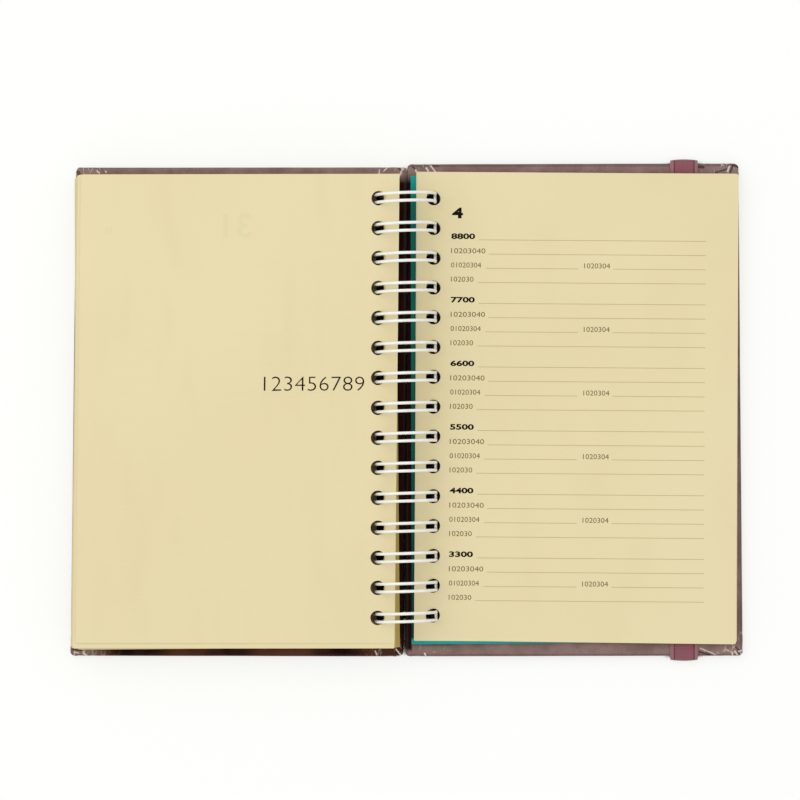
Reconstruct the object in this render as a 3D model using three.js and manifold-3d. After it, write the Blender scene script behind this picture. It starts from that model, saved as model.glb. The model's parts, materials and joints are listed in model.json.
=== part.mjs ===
// A twin-loop bound dated planner lying open at its last section.
// Millimetres, +Z up. X runs across the two halves, Y along the spine, and z = 0 is the table.
// The front cover and the dated leaves lie left of the spine, the last leaves and the back cover right.
// Every level is an offset above or below the centre of the wire rings, which is the turning axis.

import * as THREE from "three";
import { mergeVertices } from "three/addons/utils/BufferGeometryUtils.js";
import Module from "manifold-3d";

const wasm = await Module();
wasm.setup();

// Paper
const pageWidth = 137;
const pageHeight = 200.5;
const pageCorner = 1.3; // radius of a trimmed page corner
const monthThickness = 1.06; // one month of daily leaves
const openingThickness = 1.1; // the undated leaves before January
const singleLeaf = 0.2; // one leaf with the curl that keeps it off the next
const contactsThickness = 0.55;
const tealThickness = 0.3;
const leafGap = 0.05; // air between two sheets or sections
const titleSetback = 2; // the section title leaf is narrower than the others
const titleShort = 2.5; // and shorter at its tail
const tealReach = 1.9; // the teal sheet lies this much nearer the spine than the other leaves
const leafShift = 0.25; // left leaves hang this much low on the wire, right leaves this much high

// Punched holes
const loopPitch = 12.7;
const endMargin = 9; // at least this much from the head or tail of a leaf to the nearest hole's centre
const rowRise = 1.1; // the row of holes lies this much nearer the head than the middle of a cover
const leafDrop = 0.7; // the middle of a leaf lies this much below the middle of its row of holes
const holeRadius = 3.15;
const holeSetback = 7.5; // hole centre to the binding edge of a leaf
const coverHoleSetback = 7.2;
const holeSides = 6; // facets of a hole in a hidden sheet
const shownHoleSides = 10; // facets of a hole in a sheet that shows
const coverHoleSides = 6;
const holeClearance = 0.15;

// Wire
const wireDiameter = 1.3;
const pairSpacing = 3.3; // between the two wires of a loop
const ringPastCover = 1.6; // ring centre line below the outside of a cover
const holeInset = 0.45; // hole centres lie this far inside the ring's centre line
const tipInset = 0.8; // the loop's tip hangs this far inside the ring
const rightHoleInset = 1.05; // the last leaves' holes lie this far inside the ring
const wireLean = 0.02; // rise in Y per millimetre of X
const wireBend = 1; // where a wire turns into the straight seam
const bendSteps = 2;
const wireSides = 5;
const ringSteps = 14;
const tipSteps = 4;
const leastWireGap = 0.4;
const seamGap = 0.1; // closed seam above the back cover, and the last leaves above the seam

// Covers
const coverWider = 5.5; // a cover than a leaf
const coverPastLeaf = 4.25; // at head and at tail
const coverCorner = 2.2;
const boardThickness = 1.95;
const wrapThickness = 0.25; // laminated paper round the board
const wrapGap = 0.03; // glue line between the board and its wrap
const turnIn = 14; // width of the wrap on the inside of a cover
const liningGap = 0.3; // between the lining and the edge of the turned-in wrap

// Elastic
const bandWidth = 12.2;
const bandThickness = 1.2;
const bandInset = 24.6; // from the cover's outer edge to the middle of the band
const bandGap = 0.08; // between the band and the faces of the cover
const bandSlack = 0.5; // between the band and the edge that it wraps
const bandSlotInset = 20; // from the cover's head or tail to the slot
const slotGap = 0.3;
const tabLength = 12;
const tabThickness = 0.5;
const tabSide = 2; // tab past the band on each side
const tabRoom = 0.1; // above and below the tab in its pocket

const cutOverrun = 1; // cutting tools reach this far past the face that they open

const monthNames = [
  "january", "february", "march", "april", "may", "june",
  "july", "august", "september", "october", "november", "december",
];

// Sizes that follow from the leaves
const loopCount = Math.floor((pageHeight - 2 * endMargin) / loopPitch) + 1;
const coverWidth = pageWidth + coverWider;
const coverHeight = pageHeight + 2 * coverPastLeaf;

// Levels, as offsets from the ring centre
const wireRadius = wireDiameter / 2;
const pairHalf = pairSpacing / 2 + wireRadius;
const coverThickness = boardThickness + 2 * wrapThickness + 2 * wrapGap;
const leftStack = openingThickness + monthNames.length * monthThickness + singleLeaf
  + (monthNames.length + 2) * leafGap;
const rightStack = tealThickness + contactsThickness + singleLeaf + 2 * leafGap;
const seamRoom = Math.max(wireDiameter, bandThickness + bandGap) + 2 * seamGap;
const coverInside = (leftStack + leafGap + rightStack + seamRoom) / 2;
const coverOutside = coverInside + coverThickness;
const ringRadius = coverOutside + ringPastCover;
const leftTop = leftStack - coverInside;
const rightTop = -leftTop - leafGap;
const ringHeight = ringRadius + wireRadius;

// Where the holes lie across the spine
const holeArc = ringRadius - holeInset;
const rightHoleX = ringRadius - rightHoleInset;
const coverHoleNear = Math.sqrt((ringRadius - wireRadius) ** 2 - coverOutside ** 2);
const coverHoleFar = Math.sqrt((ringRadius + wireRadius) ** 2 - coverInside ** 2);
const coverHoleX = (coverHoleNear + coverHoleFar) / 2;
const coverHoleRadius = Math.hypot((coverHoleFar - coverHoleNear) / 2, pairHalf) + holeClearance;
const coverEdge = coverHoleX - coverHoleSetback;
const bandX = coverEdge + coverWidth - bandInset;
const bandReach = coverHeight / 2 + bandSlack + bandThickness;
const slotY = coverHeight / 2 - bandSlotInset;

// Each half leans down from the spine until its outer side meets the table.
// The tilt turns the point (reach, -depth) about the ring centre down to the ring's lowest level.
function restingTilt(reach, depth) {
  return Math.asin(ringHeight / Math.hypot(reach, depth)) - Math.atan2(depth, reach);
}
const leftTilt = restingTilt(coverEdge + coverWidth, coverOutside);
const rightTilt = Math.min(
  restingTilt(coverEdge + coverWidth, coverOutside),
  restingTilt(bandX + bandWidth / 2, coverOutside + bandGap + bandThickness),
);

function loopY(index) {
  return rowRise + (index - (loopCount - 1) / 2) * loopPitch;
}

// Outline of a sheet with round outer corners; side is -1 left of the spine and 1 right of it.
function sheetShape(side, edge, width, low, high, corner) {
  const outer = side * (edge + width);
  const near = side * edge;
  const shape = new THREE.Shape();
  shape.moveTo(near, low);
  shape.lineTo(outer - side * corner, low);
  shape.quadraticCurveTo(outer, low, outer, low + corner);
  shape.lineTo(outer, high - corner);
  shape.quadraticCurveTo(outer, high, outer - side * corner, high);
  shape.lineTo(near, high);
  shape.closePath();
  return shape;
}

// A punched hole, drawn as a polygon that holds the round hole.
function holePath(x, y, radius, sides) {
  const points = [];
  for (let i = 0; i < sides; i++) {
    const angle = (2 * Math.PI * i) / sides;
    const reach = radius / Math.cos(Math.PI / sides);
    points.push(new THREE.Vector2(x + reach * Math.cos(angle), y + reach * Math.sin(angle)));
  }
  return new THREE.Path(points);
}

function slab(shape, bottom, thickness) {
  const geometry = new THREE.ExtrudeGeometry(shape, { depth: thickness, bevelEnabled: false, curveSegments: 3 });
  return geometry.translate(0, 0, bottom);
}

// A leaf or a section of leaves, punched along its binding edge. It can be trimmed at its outer side
// or its tail, or reach nearer to the spine.
function leaves(side, holeX, bottom, thickness, sides, { trim = 0, short = 0, reach = 0 } = {}) {
  const shift = side * leafShift;
  const middle = rowRise + shift - leafDrop;
  const edge = holeX - holeSetback - reach;
  const width = pageWidth + reach - trim;
  const low = middle - pageHeight / 2 + short;
  const shape = sheetShape(side, edge, width, low, middle + pageHeight / 2, pageCorner);
  for (let i = 0; i < loopCount; i++) {
    shape.holes.push(holePath(side * holeX, loopY(i) + shift, holeRadius, sides));
  }
  return slab(shape, bottom, thickness);
}

// Hole centres of the left leaves follow the ring, so the stack's back is curved.
function leftLeaves(bottom, thickness, sides, changes) {
  const middle = bottom + thickness / 2;
  return leaves(-1, Math.sqrt(holeArc ** 2 - middle ** 2), bottom, thickness, sides, changes);
}

function rightLeaves(bottom, thickness, sides, changes) {
  return leaves(1, rightHoleX, bottom, thickness, sides, changes);
}

function solidOf(geometry) {
  const bare = geometry.clone();
  bare.deleteAttribute("normal");
  bare.deleteAttribute("uv");
  const merged = mergeVertices(bare, 1e-4);
  const mesh = new wasm.Mesh({
    numProp: 3,
    vertProperties: merged.attributes.position.array,
    triVerts: new Uint32Array(merged.index.array),
  });
  return new wasm.Manifold(mesh);
}

function geometryOf(solid) {
  const mesh = solid.getMesh();
  const geometry = new THREE.BufferGeometry();
  geometry.setAttribute("position", new THREE.BufferAttribute(mesh.vertProperties, 3));
  geometry.setIndex(new THREE.BufferAttribute(mesh.triVerts, 1));
  geometry.computeVertexNormals();
  return geometry;
}

function box(x0, x1, y0, y1, z0, z1) {
  return new THREE.BoxGeometry(x1 - x0, y1 - y0, z1 - z0)
    .translate((x0 + x1) / 2, (y0 + y1) / 2, (z0 + z1) / 2);
}

function cut(geometry, tools) {
  return geometryOf(tools.reduce((solid, tool) => solid.subtract(solidOf(tool)), solidOf(geometry)));
}

// The outline of a cover, drawn in from its edge by an inset, with or without its punched holes.
function coverShape(side, inset, punched) {
  const high = coverHeight / 2 - inset;
  const corner = Math.max(coverCorner - inset, wrapThickness);
  const shape = sheetShape(side, coverEdge + inset, coverWidth - 2 * inset, -high, high, corner);
  if (punched) {
    for (let i = 0; i < loopCount; i++) {
      shape.holes.push(holePath(side * coverHoleX, loopY(i), coverHoleRadius, coverHoleSides));
    }
  }
  return shape;
}

// The slots that pass the elastic's ends through the outside of the back cover.
function bandSlots(low, high) {
  return [-1, 1].map((end) => {
    const near = end * (slotY - slotGap);
    const far = end * (slotY + bandThickness + slotGap);
    return box(
      bandX - bandWidth / 2 - slotGap, bandX + bandWidth / 2 + slotGap,
      Math.min(near, far), Math.max(near, far), low, high,
    );
  });
}

// Flat tab that stops an end of the elastic; its pocket is the same box with room on every side.
function anchorTab(end, sideRoom, room) {
  const top = -coverInside - wrapThickness - 2 * wrapGap;
  const near = end * (slotY + bandThickness + slotGap + sideRoom);
  const far = end * (slotY - tabLength - sideRoom);
  const reach = bandWidth / 2 + tabSide + sideRoom;
  return box(
    bandX - reach, bandX + reach, Math.min(near, far), Math.max(near, far),
    top - tabThickness - room, top + room,
  );
}

// Laminated wrap: the outside sheet, the edges and the turned-in border, with the board's room cut out.
function coverWrap(side) {
  const outside = slab(coverShape(side, 0, true), -coverOutside, coverThickness);
  const board = slab(
    coverShape(side, wrapThickness, false), -coverOutside + wrapThickness, boardThickness + 2 * wrapGap,
  );
  const lining = slab(
    coverShape(side, turnIn, false), -coverInside - 2 * wrapThickness, 2 * wrapThickness + cutOverrun,
  );
  const slots = side > 0 ? bandSlots(-coverOutside - cutOverrun, -coverInside - 2 * wrapThickness) : [];
  return cut(outside, [board, lining, ...slots]);
}

function coverBoard(side) {
  const bottom = -coverOutside + wrapThickness + wrapGap;
  const shape = coverShape(side, wrapThickness + wrapGap, true);
  const board = slab(shape, bottom, boardThickness);
  if (side < 0) {
    return board;
  }
  const pockets = [-1, 1].map((end) => anchorTab(end, slotGap, tabRoom));
  return cut(board, [...bandSlots(bottom - cutOverrun, -coverInside), ...pockets]);
}

function coverLining(side) {
  const shape = coverShape(side, turnIn + liningGap, false);
  return slab(shape, -coverInside - wrapThickness, wrapThickness - wrapGap);
}

// The band goes round head and tail of the back cover, and its ends tuck up through the two slots.
function elasticBand() {
  const under = -coverOutside - bandGap;
  const over = -coverInside + bandGap;
  const end = -coverInside - wrapThickness - 2 * wrapGap - tabThickness - 2 * tabRoom;
  const edge = coverHeight / 2 + bandSlack;
  const bend = bandThickness + bandSlack / 2;
  const shape = new THREE.Shape();
  shape.moveTo(slotY, end);
  shape.lineTo(slotY, under - bandThickness);
  shape.lineTo(bandReach - bend, under - bandThickness);
  shape.quadraticCurveTo(bandReach, under - bandThickness, bandReach, under - bandThickness + bend);
  shape.lineTo(bandReach, over + bandThickness - bend);
  shape.quadraticCurveTo(bandReach, over + bandThickness, bandReach - bend, over + bandThickness);
  shape.lineTo(bend - bandReach, over + bandThickness);
  shape.quadraticCurveTo(-bandReach, over + bandThickness, -bandReach, over + bandThickness - bend);
  shape.lineTo(-bandReach, under - bandThickness + bend);
  shape.quadraticCurveTo(-bandReach, under - bandThickness, bend - bandReach, under - bandThickness);
  shape.lineTo(-slotY, under - bandThickness);
  shape.lineTo(-slotY, end);
  shape.lineTo(-slotY - bandThickness, end);
  shape.lineTo(-slotY - bandThickness, under);
  shape.lineTo(-edge, under);
  shape.lineTo(-edge, over);
  shape.lineTo(edge, over);
  shape.lineTo(edge, under);
  shape.lineTo(slotY + bandThickness, under);
  shape.lineTo(slotY + bandThickness, end);
  shape.closePath();
  // The shape is drawn in (Y, Z) and pushed along X.
  const geometry = new THREE.ExtrudeGeometry(shape, { depth: bandWidth, bevelEnabled: false, curveSegments: 3 });
  const turn = new THREE.Matrix4().set(
    0, 0, 1, bandX - bandWidth / 2,
    1, 0, 0, 0,
    0, 1, 0, 0,
    0, 0, 0, 1,
  );
  return geometry.applyMatrix4(turn);
}

// The wire's route round one loop. It comes along the closed seam, runs down through the back cover,
// round under the spine and up over the pages, makes its narrow tip in the last leaves' holes, and returns.
const seamZ = -coverInside + seamGap + wireRadius;
const seamAngle = Math.asin(seamZ / ringRadius);
const tipX = ringRadius - tipInset;
const tipAngle = -Math.acos(tipX / ringRadius) - 2 * Math.PI;

// Vertices of the faceted ring stand a little outside it and its chords a little inside.
const stepAngle = (seamAngle - tipAngle) / ringSteps;
const facetedRadius = (2 * ringRadius) / (1 + Math.cos(stepAngle / 2));

function ringPoint(angle, y) {
  return new THREE.Vector3(facetedRadius * Math.cos(angle), y, facetedRadius * Math.sin(angle));
}

// A prong leaves the seam beside it: toSeam is -1 where the seam comes from the tail, 1 where it goes on.
function prongPoints(y, toSeam) {
  const bendAngle = wireBend / ringRadius;
  const points = [];
  for (let i = 0; i < bendSteps; i++) {
    const turn = (Math.PI / 2) * (i / bendSteps);
    const aside = toSeam * wireBend * (1 - Math.sin(turn));
    points.push(ringPoint(seamAngle - bendAngle * (1 - Math.cos(turn)), y + aside));
  }
  const first = seamAngle - bendAngle;
  for (let i = 0; i <= ringSteps; i++) {
    points.push(ringPoint(first + ((tipAngle - first) * i) / ringSteps, y));
  }
  return points;
}

function tipPoints(y) {
  const radius = pairSpacing / 2;
  const points = [];
  for (let i = 0; i <= tipSteps; i++) {
    const angle = Math.PI + (Math.PI * i) / tipSteps;
    const z = seamZ + radius + radius * Math.sin(angle);
    points.push(new THREE.Vector3(tipX, y + radius * Math.cos(angle), z));
  }
  return points;
}

function wireRoute() {
  const half = pairSpacing / 2;
  const route = [ringPoint(seamAngle, loopY(0) - half - wireBend - wireDiameter)];
  for (let i = 0; i < loopCount; i++) {
    const y = loopY(i);
    route.push(...prongPoints(y - half, -1), ...tipPoints(y), ...prongPoints(y + half, 1).reverse());
  }
  route.push(ringPoint(seamAngle, loopY(loopCount - 1) + half + wireBend + wireDiameter));
  // The loops lean a little, so that each wire rises towards the back cover.
  return route.map((point) => point.setY(point.y + wireLean * point.x));
}

// Least air between two stretches of the route that aren't next to each other along it.
// Each loop holds two turns of wire, and a stretch can only come near its own loop and the next.
function leastGap(route) {
  const step = wireDiameter / 2;
  const apart = 5 * wireDiameter;
  const reach = Math.ceil((2 * 2 * 2 * Math.PI * ringRadius) / step);
  const samples = [];
  let travelled = 0;
  for (let i = 1; i < route.length; i++) {
    const length = route[i].distanceTo(route[i - 1]);
    const count = Math.ceil(length / step);
    for (let k = 0; k < count; k++) {
      samples.push({ at: travelled + (length * k) / count, point: route[i - 1].clone().lerp(route[i], k / count) });
    }
    travelled += length;
  }
  let least = Infinity;
  for (const [i, one] of samples.entries()) {
    for (const other of samples.slice(i + 1, i + reach)) {
      if (other.at - one.at > apart) {
        least = Math.min(least, one.point.distanceTo(other.point));
      }
    }
  }
  return least - wireDiameter;
}

// A closed tube along the route. Its section is carried from point to point without twisting.
function tube(route, radius, sides) {
  const positions = [];
  const faces = [];
  let normal = new THREE.Vector3(0, 0, 1);
  for (let i = 0; i < route.length; i++) {
    const before = route[Math.max(i - 1, 0)];
    const after = route[Math.min(i + 1, route.length - 1)];
    const along = after.clone().sub(before).normalize();
    normal = normal.clone().addScaledVector(along, -normal.dot(along)).normalize();
    const across = along.clone().cross(normal);
    for (let k = 0; k < sides; k++) {
      const angle = (2 * Math.PI * k) / sides;
      const point = route[i].clone()
        .addScaledVector(normal, radius * Math.cos(angle))
        .addScaledVector(across, radius * Math.sin(angle));
      positions.push(point.x, point.y, point.z);
    }
  }
  for (let i = 1; i < route.length; i++) {
    for (let k = 0; k < sides; k++) {
      const next = (k + 1) % sides;
      const a = (i - 1) * sides + k;
      const b = (i - 1) * sides + next;
      const c = i * sides + next;
      const d = i * sides + k;
      faces.push(a, b, c, a, c, d);
    }
  }
  const last = (route.length - 1) * sides;
  for (let k = 1; k < sides - 1; k++) {
    faces.push(0, k + 1, k);
    faces.push(last, last + k, last + k + 1);
  }
  const geometry = new THREE.BufferGeometry();
  geometry.setAttribute("position", new THREE.Float32BufferAttribute(positions, 3));
  geometry.setIndex(faces);
  geometry.computeVertexNormals();
  return geometry;
}

function twinLoopWire() {
  const route = wireRoute();
  const gap = leastGap(route);
  console.log(`least gap of the wire to itself ${gap.toFixed(2)} mm, wanted over ${leastWireGap}`);
  return tube(route, wireRadius, wireSides);
}

// Materials, as the photographed planner shows them.
function laminate() {
  return new THREE.MeshStandardMaterial({ color: 0x8f7068, roughness: 0.35, metalness: 0 });
}

function greyboard() {
  return new THREE.MeshStandardMaterial({ color: 0x9b948a, roughness: 0.9, metalness: 0 });
}

function liningPaper() {
  return new THREE.MeshStandardMaterial({ color: 0x4b251c, roughness: 0.6, metalness: 0 });
}

function creamPaper() {
  return new THREE.MeshStandardMaterial({ color: 0xe8dcae, roughness: 0.85, metalness: 0 });
}

function tealPaper() {
  return new THREE.MeshStandardMaterial({ color: 0x3f938c, roughness: 0.6, metalness: 0 });
}

function wireMetal() {
  return new THREE.MeshStandardMaterial({ color: 0xd9dadd, roughness: 0.25, metalness: 1 });
}

function wovenElastic() {
  return new THREE.MeshStandardMaterial({ color: 0x8a4550, roughness: 0.85, metalness: 0 });
}

function tabCard() {
  return new THREE.MeshStandardMaterial({ color: 0xb8a98c, roughness: 0.9, metalness: 0 });
}

function addPiece(group, name, geometry, material) {
  const mesh = new THREE.Mesh(geometry, material);
  mesh.name = name;
  group.add(mesh);
}

// The front cover, with the dated leaves stacked on it and the section's title leaf on top.
function leftHalf() {
  const half = new THREE.Group();
  addPiece(half, "front_cover_wrap", coverWrap(-1), laminate());
  addPiece(half, "front_cover_board", coverBoard(-1), greyboard());
  addPiece(half, "front_cover_lining", coverLining(-1), liningPaper());
  let level = -coverInside + leafGap;
  addPiece(half, "opening_leaves", leftLeaves(level, openingThickness, holeSides), creamPaper());
  level += openingThickness + leafGap;
  for (const month of monthNames) {
    const section = leftLeaves(level, monthThickness, holeSides);
    addPiece(half, `${month}_leaves`, section, creamPaper());
    level += monthThickness + leafGap;
  }
  const title = leftLeaves(level, singleLeaf, shownHoleSides, { trim: titleSetback, short: titleShort });
  addPiece(half, "section_title_leaf", title, creamPaper());
  half.position.z = ringHeight;
  half.rotation.y = -leftTilt;
  return half;
}

// The back cover with its elastic, the wire that binds everything, and the last leaves lying on the seam.
function rightHalf() {
  const half = new THREE.Group();
  addPiece(half, "back_cover_wrap", coverWrap(1), laminate());
  addPiece(half, "back_cover_board", coverBoard(1), greyboard());
  addPiece(half, "back_cover_lining", coverLining(1), liningPaper());
  addPiece(half, "elastic_anchor_tail", anchorTab(-1, 0, 0), tabCard());
  addPiece(half, "elastic_anchor_head", anchorTab(1, 0, 0), tabCard());
  addPiece(half, "elastic_band", elasticBand(), wovenElastic());
  addPiece(half, "twin_loop_wire", twinLoopWire(), wireMetal());
  let level = rightTop - singleLeaf;
  addPiece(half, "contacts_leaf", rightLeaves(level, singleLeaf, shownHoleSides), creamPaper());
  level -= leafGap + contactsThickness;
  addPiece(half, "contacts_leaves", rightLeaves(level, contactsThickness, holeSides), creamPaper());
  level -= leafGap + tealThickness;
  const teal = rightLeaves(level, tealThickness, holeSides, { reach: tealReach });
  addPiece(half, "teal_sheet", teal, tealPaper());
  half.position.z = ringHeight;
  half.rotation.y = rightTilt;
  return half;
}

const planner = new THREE.Group();
planner.add(leftHalf(), rightHalf());
console.log(`tilt left ${THREE.MathUtils.radToDeg(leftTilt).toFixed(3)}, right `
  + `${THREE.MathUtils.radToDeg(rightTilt).toFixed(3)} degrees, ring centre at ${ringHeight.toFixed(3)} mm`);

export default planner;
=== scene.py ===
import json
import math
import random

import bmesh
import bpy
from mathutils import Matrix, Vector, noise


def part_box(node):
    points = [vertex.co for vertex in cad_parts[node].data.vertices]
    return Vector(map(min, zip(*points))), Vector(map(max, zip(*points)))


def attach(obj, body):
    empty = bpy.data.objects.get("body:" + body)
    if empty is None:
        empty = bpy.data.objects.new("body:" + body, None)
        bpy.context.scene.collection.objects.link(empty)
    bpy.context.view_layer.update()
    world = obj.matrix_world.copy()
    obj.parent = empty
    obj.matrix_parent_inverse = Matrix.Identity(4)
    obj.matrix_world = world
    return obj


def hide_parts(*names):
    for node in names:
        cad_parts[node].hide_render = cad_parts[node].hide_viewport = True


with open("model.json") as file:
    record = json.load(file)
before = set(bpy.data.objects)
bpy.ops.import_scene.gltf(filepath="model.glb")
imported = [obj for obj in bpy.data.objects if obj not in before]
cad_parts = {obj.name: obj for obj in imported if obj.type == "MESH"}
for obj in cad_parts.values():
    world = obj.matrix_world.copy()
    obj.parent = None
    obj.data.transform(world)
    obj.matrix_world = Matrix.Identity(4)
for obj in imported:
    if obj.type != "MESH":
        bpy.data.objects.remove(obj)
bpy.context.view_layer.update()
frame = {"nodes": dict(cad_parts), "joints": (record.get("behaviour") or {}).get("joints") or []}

nodes = frame["nodes"]

# The view.
# The planner was photographed from about 2 m, almost straight above, with the lens a little low and right
# of its middle.
MM = 0.001
photo_width_px = 800
camera_place = Vector((23.0, -37.9, 1945.3)) * MM
camera_turn = (math.radians(1.248), math.radians(0.754), math.radians(-0.13))
focal_px = 4550.5
sensor_mm = 36.0

camera_data = bpy.data.cameras.new("camera")
camera_data.sensor_width = sensor_mm
camera_data.lens = sensor_mm * focal_px / photo_width_px
camera = bpy.data.objects.new("camera", camera_data)
camera.location = camera_place
camera.rotation_euler = camera_turn
bpy.context.scene.collection.objects.link(camera)
bpy.context.scene.camera = camera
bpy.context.scene.view_settings.view_transform = "Standard"


# The table and the light.
# A seamless white sheet lies under the planner. A broad soft lamp stands above its upper left, so that thick
# edges throw short soft shadows towards the lower right.
class Value:
    """A number in a shader, which takes part in ordinary sums."""

    def __init__(self, finish, socket):
        self.finish = finish
        self.socket = socket

    def sum(self, operation, first, second):
        return self.finish.node("ShaderNodeMath", {"operation": operation}, {0: first, 1: second})

    def __add__(self, other):
        return self.sum("ADD", self, other)

    def __radd__(self, other):
        return self.sum("ADD", other, self)

    def __sub__(self, other):
        return self.sum("SUBTRACT", self, other)

    def __rsub__(self, other):
        return self.sum("SUBTRACT", other, self)

    def __mul__(self, other):
        return self.sum("MULTIPLY", self, other)

    def __rmul__(self, other):
        return self.sum("MULTIPLY", other, self)

    def __truediv__(self, other):
        return self.sum("DIVIDE", self, other)

    def __pow__(self, other):
        return self.sum("POWER", self, other)

    def __lt__(self, other):
        return self.sum("LESS_THAN", self, other)

    def __abs__(self):
        return self.sum("ABSOLUTE", self, 0.0)

    def most(self, other):
        return self.sum("MAXIMUM", self, other)

    def least(self, other):
        return self.sum("MINIMUM", self, other)


class Finish:
    """A procedural material, with its pattern laid out in object space."""

    def __init__(self, name, **constants):
        self.material = bpy.data.materials.new(name)
        self.material.use_nodes = True
        self.tree = self.material.node_tree
        self.shader = self.tree.nodes["Principled BSDF"]
        self.place = self.node("ShaderNodeTexCoord", out="Object")
        for label, value in constants.items():
            self.shader.inputs[label.replace("_", " ")].default_value = value

    def feed(self, socket, value):
        if isinstance(value, Value):
            self.tree.links.new(value.socket, socket)
        else:
            socket.default_value = value

    def node(self, kind, settings=None, inputs=None, out=0):
        made = self.tree.nodes.new(kind)
        for key, value in (settings or {}).items():
            setattr(made, key, value)
        for key, value in (inputs or {}).items():
            self.feed(made.inputs[key], value)
        return Value(self, made.outputs[out])

    def noise(self, size_mm, detail=2.0, stretch=(1, 1, 1)):
        scale = [1 / (size_mm * MM * s) for s in stretch]
        place = self.node("ShaderNodeMapping", None, {"Vector": self.place, "Scale": scale})
        return self.node("ShaderNodeTexNoise", None, {"Vector": place, "Scale": 1.0, "Detail": detail})

    def axes(self):
        split = self.tree.nodes.new("ShaderNodeSeparateXYZ")
        self.tree.links.new(self.place.socket, split.inputs[0])
        return [Value(self, output) for output in split.outputs]

    def ramp(self, value, low, high):
        return self.node("ShaderNodeMapRange", {"clamp": True}, {
            "Value": value, "From Min": low, "From Max": high, "To Min": 0.0, "To Max": 1.0,
        })

    def to_line(self, x, y, start, end):
        """Distance from (x, y) to the stretch between two points."""
        run = (end[0] - start[0], end[1] - start[1])
        share = ((x - start[0]) * run[0] + (y - start[1]) * run[1]) / (run[0] ** 2 + run[1] ** 2)
        share = self.ramp(share, 0.0, 1.0)
        dx = x - start[0] - share * run[0]
        dy = y - start[1] - share * run[1]
        return (dx * dx + dy * dy) ** 0.5

    def blend(self, mask, first, second):
        return self.node("ShaderNodeMix", {"data_type": "RGBA"}, {0: mask, 6: first, 7: second}, out=2)

    def paint(self, colour, roughness=None, height=None, depth_mm=0.0):
        self.feed(self.shader.inputs["Base Color"], colour)
        if roughness is not None:
            self.feed(self.shader.inputs["Roughness"], roughness)
        if height is not None:
            relief = {"Strength": 1.0, "Distance": depth_mm * MM, "Height": height}
            self.feed(self.shader.inputs["Normal"], self.node("ShaderNodeBump", None, relief))
        return self.material


def srgb(red, green, blue):
    def linear(level):
        share = level / 255
        return share / 12.92 if share <= 0.04045 else ((share + 0.055) / 1.055) ** 2.4
    return (linear(red), linear(green), linear(blue), 1.0)


def table_finish():
    """White to the eye and in reflections, but paler in what it throws up at the planner."""
    finish = Finish("table_white", Roughness=0.9, Emission_Strength=1.0)
    path = finish.tree.nodes.new("ShaderNodeLightPath")
    seen = Value(finish, path.outputs["Is Camera Ray"])
    for label in ("Is Glossy Ray", "Is Transmission Ray"):
        seen = seen.most(Value(finish, path.outputs[label]))
    # Painted shade: where ambient occlusion finds the narrow crack between the covers, the floor is coloured
    # near black and its glow is cut off.
    reach = finish.node("ShaderNodeAmbientOcclusion", {"samples": 8}, {"Distance": 0.02}, out=1)
    outside_crack_shade = finish.ramp(reach, 0.36, 0.48)
    seen = seen * outside_crack_shade
    glow = finish.blend(seen, (0, 0, 0, 1), (0.72, 0.725, 0.705, 1))
    finish.feed(finish.shader.inputs["Emission Color"], glow)
    open_white = finish.blend(seen, (0.6, 0.6, 0.59, 1), (0.27, 0.27, 0.265, 1))
    return finish.paint(finish.blend(outside_crack_shade, (0.01, 0.004, 0.004, 1), open_white))


table_half_width = 4.0
table_drop = 0.05
room_brightness = 0.825
lamp_width = 1.6
lamp_watts = 6.2
lamp_place = (-0.7, 0.45, 1.3)

table_mesh = bpy.data.meshes.new("table")
table_bm = bmesh.new()
bmesh.ops.create_grid(table_bm, x_segments=1, y_segments=1, size=table_half_width)
bmesh.ops.translate(table_bm, verts=table_bm.verts[:], vec=(0, 0, -table_drop * MM))
table_bm.to_mesh(table_mesh)
table_bm.free()
table_mesh.materials.append(table_finish())
table = bpy.data.objects.new("table", table_mesh)
bpy.context.scene.collection.objects.link(table)

world = bpy.data.worlds.new("soft_white")
world.use_nodes = True
world.node_tree.nodes["Background"].inputs["Color"].default_value = (1.0, 1.0, 1.0, 1.0)
world.node_tree.nodes["Background"].inputs["Strength"].default_value = room_brightness
bpy.context.scene.world = world

lamp_data = bpy.data.lights.new("soft_lamp", "AREA")
lamp_data.shape = "RECTANGLE"
lamp_data.size = lamp_width
lamp_data.size_y = lamp_width
lamp_data.energy = lamp_watts
lamp = bpy.data.objects.new("soft_lamp", lamp_data)
lamp.location = lamp_place
lamp.rotation_euler = (-lamp.location).to_track_quat("-Z", "Y").to_euler()
bpy.context.scene.collection.objects.link(lamp)


# The covers.
# Each cover is a grey board wrapped in printed paper under a glossy film. The wrap is folded over the board's
# edges and turned in, and it has creased and chipped white at the corners.
ring_height = frame["joints"][0]["pos_m"][2] / MM
LEFT, RIGHT = -1, 1
cover_names = {LEFT: "front_cover", RIGHT: "back_cover"}
cover_corner_radius = 2.0
cover_edge_radius = 0.7
crumple_reach = 13.0
crumple_depth = 0.30
edge_drift = 0.22
edge_inset = 0.12
endpaper_thickness = 0.12
edge_cut = 1.2
middle_cut = 12.0
# Without a seed the crumple's noise starts from the clock and differs in each run.
noise.seed_set(7)


def half_tilt(node):
    """How far a half of the planner leans, from the flat top of one of its solids."""
    up = max((face for face in nodes[node].data.polygons), key=lambda face: (face.normal.z > 0.9) * face.area)
    return math.atan2(up.normal.x, up.normal.z)


tilt = {LEFT: half_tilt("section_title_leaf"), RIGHT: half_tilt("contacts_leaf")}


def lean(side):
    """From millimetres about the ring centre, with the half lying level, to its place in the frame."""
    turn = Matrix.Rotation(tilt[side], 4, "Y")
    return Matrix.Translation((0, 0, ring_height * MM)) @ turn @ Matrix.Scale(MM, 4)


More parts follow.
